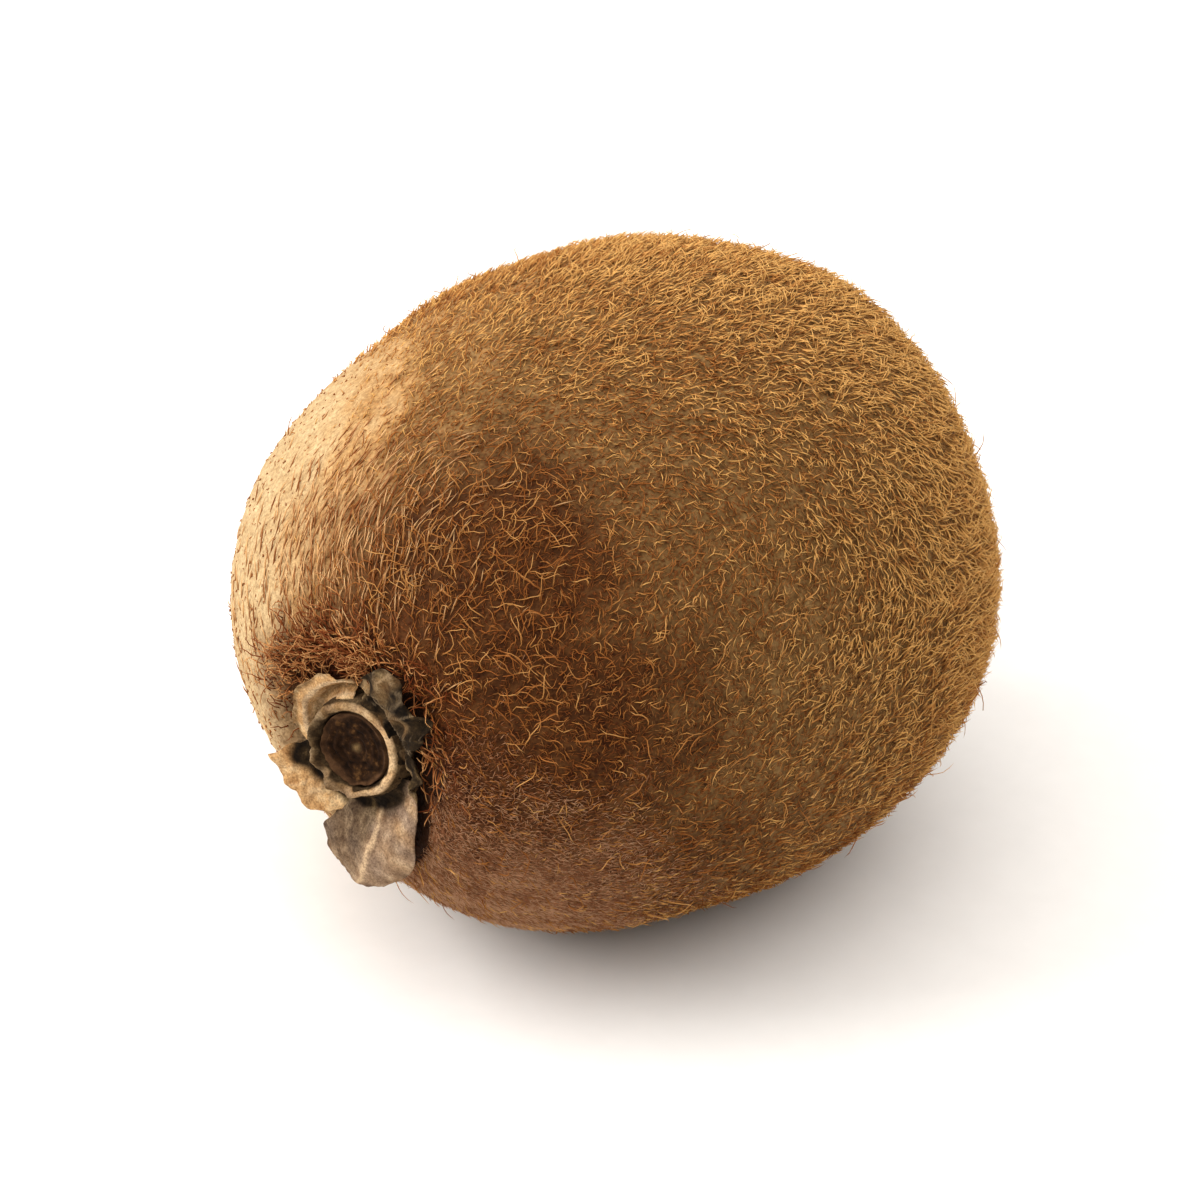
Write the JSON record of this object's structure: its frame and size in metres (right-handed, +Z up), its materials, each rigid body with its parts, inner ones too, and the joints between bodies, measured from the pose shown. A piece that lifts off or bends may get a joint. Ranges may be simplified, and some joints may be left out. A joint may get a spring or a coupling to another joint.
{
  "type": "kiwi fruit",
  "caption": "Whole fuzzy kiwi fruit lying on its side, an oval with a dried calyx round the stalk scar at one end and dried styles at the other.",
  "frame": {"origin": "on the surface that the fruit rests on, below the middle of its box", "axes": "+Z up; the long axis is level, with the stem end and its calyx towards -Y and the blossom end towards +Y"},
  "size_m": [0.0558, 0.0624, 0.0492],
  "materials": {
    "skin": "matt brown skin with a dense coat of short golden-brown hairs",
    "dried_sepal": "dry, papery, crumpled, grey-tan",
    "cork": "dark dry cork with fine rings",
    "dried_style": "dry and fibrous, nearly black"
  },
  "bodies": {
    "root": {"fruit": "skin", "calyx": "dried_sepal", "stalk_scar": "cork", "style_brush": "dried_style"}
  },
  "joints": []
}
